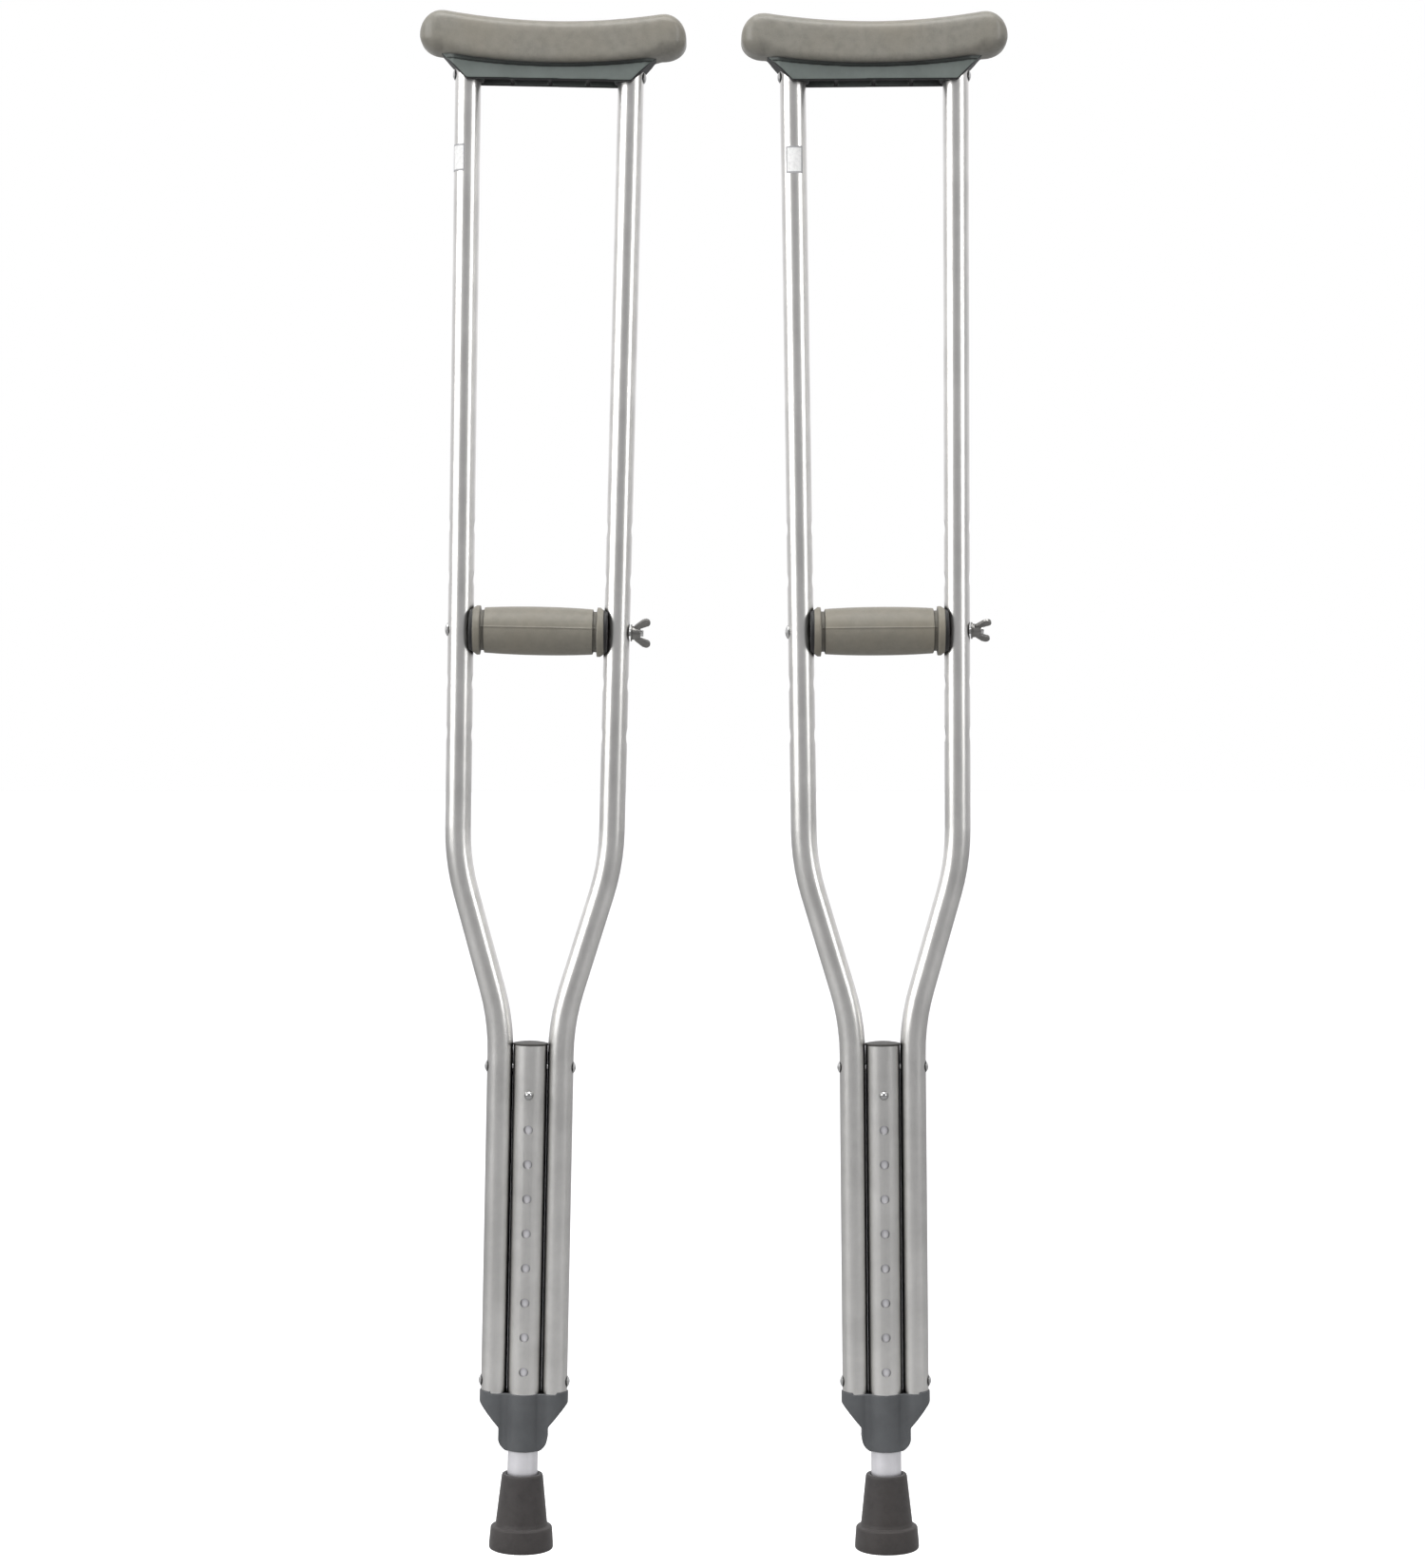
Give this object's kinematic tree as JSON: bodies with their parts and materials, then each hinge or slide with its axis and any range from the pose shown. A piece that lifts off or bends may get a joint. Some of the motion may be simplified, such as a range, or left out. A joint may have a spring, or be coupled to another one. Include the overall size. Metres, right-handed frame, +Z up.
{
  "type": "underarm crutches",
  "caption": "Pair of adjustable aluminium underarm crutches with padded tops, hand grips, snap-button legs and rubber tips.",
  "frame": {"origin": "bottom centre of the box round the pair, on the ground the tips stand on", "axes": "+Z up, +X from the left crutch to the right one as seen from the snap buttons, -Y towards the snap buttons"},
  "size_m": [0.4372, 0.0474, 1.1339],
  "materials": {
    "pad_foam": "matte moulded foam, warm grey-olive",
    "bracket_plastic": "moulded plastic, cool grey-green",
    "yoke_plastic": "moulded plastic, dark cool grey",
    "tip_rubber": "moulded rubber, dark brown-grey",
    "tube_aluminium": "satin anodised, fine lengthwise grain",
    "rivet_steel": "plated rivets and washers",
    "button_chrome": "polished chrome",
    "spring_steel": "spring steel strip",
    "zinc": "dull zinc plate",
    "grip_rubber": "matte moulded grip, warm grey-olive",
    "core_plastic": "black plastic tube",
    "label_paper": "blank white film"
  },
  "bodies": {
    "left_frame": {"left_underarm_pad": "pad_foam", "left_underarm_bracket": "bracket_plastic", "left_bracket_rivets": "rivet_steel", "left_bow_head_side": "tube_aluminium", "left_bow_nut_side": "tube_aluminium", "left_centre_tube": "tube_aluminium", "left_tube_cap": "yoke_plastic", "left_cross_rivet": "rivet_steel", "left_yoke": "yoke_plastic", "left_yoke_rivets": "rivet_steel", "left_size_label": "label_paper"},
    "left_leg": {"left_leg_tube": "tube_aluminium", "left_snap_spring": "spring_steel", "left_rubber_tip": "tip_rubber", "left_tip_washer": "rivet_steel"},
    "left_button": {"left_snap_button": "button_chrome"},
    "left_grip": {"left_grip_sleeve": "grip_rubber", "left_grip_core": "core_plastic", "left_grip_bolt": "zinc"},
    "left_washer": {"left_nut_washer": "zinc"},
    "left_nut": {"left_wing_nut": "zinc"},
    "right_frame": {"right_underarm_pad": "pad_foam", "right_underarm_bracket": "bracket_plastic", "right_bracket_rivets": "rivet_steel", "right_bow_head_side": "tube_aluminium", "right_bow_nut_side": "tube_aluminium", "right_centre_tube": "tube_aluminium", "right_tube_cap": "yoke_plastic", "right_cross_rivet": "rivet_steel", "right_yoke": "yoke_plastic", "right_yoke_rivets": "rivet_steel", "right_size_label": "label_paper"},
    "right_leg": {"right_leg_tube": "tube_aluminium", "right_snap_spring": "spring_steel", "right_rubber_tip": "tip_rubber", "right_tip_washer": "rivet_steel"},
    "right_button": {"right_snap_button": "button_chrome"},
    "right_grip": {"right_grip_sleeve": "grip_rubber", "right_grip_core": "core_plastic", "right_grip_bolt": "zinc"},
    "right_washer": {"right_nut_washer": "zinc"},
    "right_nut": {"right_wing_nut": "zinc"}
  },
  "joints": [
    {"name": "left_leg_extension", "type": "slide", "parent": "left_frame", "child": "left_leg", "axis": [-0.0195, 0, -0.9998], "range_m": [0, 0.2032], "deforming": ["left_snap_button"]},
    {"name": "left_button_press", "type": "slide", "parent": "left_leg", "child": "left_button", "axis": [0, 1, 0], "range_m": [0, 0.0045], "stiffness_N_per_m": 600, "springref_m": -0.002, "deforming": ["left_snap_spring"]},
    {"name": "left_grip_height", "type": "slide", "parent": "left_frame", "child": "left_grip", "axis": [0.0195, 0, 0.9998], "range_m": [-0.0762, 0.0762], "deforming": ["left_grip_bolt"]},
    {"name": "left_washer_loosen", "type": "slide", "parent": "left_grip", "child": "left_washer", "axis": [0.9998, 0, -0.0195], "range_m": [0, 0.00529]},
    {"name": "left_wing_nut_turn", "type": "hinge", "parent": "left_washer", "child": "left_nut", "pos_m": [-0.05668, 0, 0.67491], "axis": [0.9998, 0, -0.0195], "range_deg": [0, 1806]},
    {"name": "right_leg_extension", "type": "slide", "parent": "right_frame", "child": "right_leg", "axis": [0.0087, 0, -1], "range_m": [0, 0.2032], "deforming": ["right_snap_button"]},
    {"name": "right_button_press", "type": "slide", "parent": "right_leg", "child": "right_button", "axis": [0, 1, 0], "range_m": [0, 0.0045], "stiffness_N_per_m": 600, "springref_m": -0.002, "deforming": ["right_snap_spring"]},
    {"name": "right_grip_height", "type": "slide", "parent": "right_frame", "child": "right_grip", "axis": [-0.0087, 0, 1], "range_m": [-0.0762, 0.0762], "deforming": ["right_grip_bolt"]},
    {"name": "right_washer_loosen", "type": "slide", "parent": "right_grip", "child": "right_washer", "axis": [1, 0, 0.0087], "range_m": [0, 0.00529]},
    {"name": "right_wing_nut_turn", "type": "hinge", "parent": "right_washer", "child": "right_nut", "pos_m": [0.19422, 0, 0.67679], "axis": [1, 0, 0.0087], "range_deg": [0, 1806]},
    {"name": "pair_spacing", "type": "slide", "parent": "left_frame", "child": "right_frame", "axis": [1, 0, 0], "range_m": [0, 0.4]}
  ],
  "couplings": [
    {"joint": "left_wing_nut_turn", "follows": "left_washer_loosen", "rad_per_m": 5936.9},
    {"joint": "right_wing_nut_turn", "follows": "right_washer_loosen", "rad_per_m": 5936.9}
  ]
}
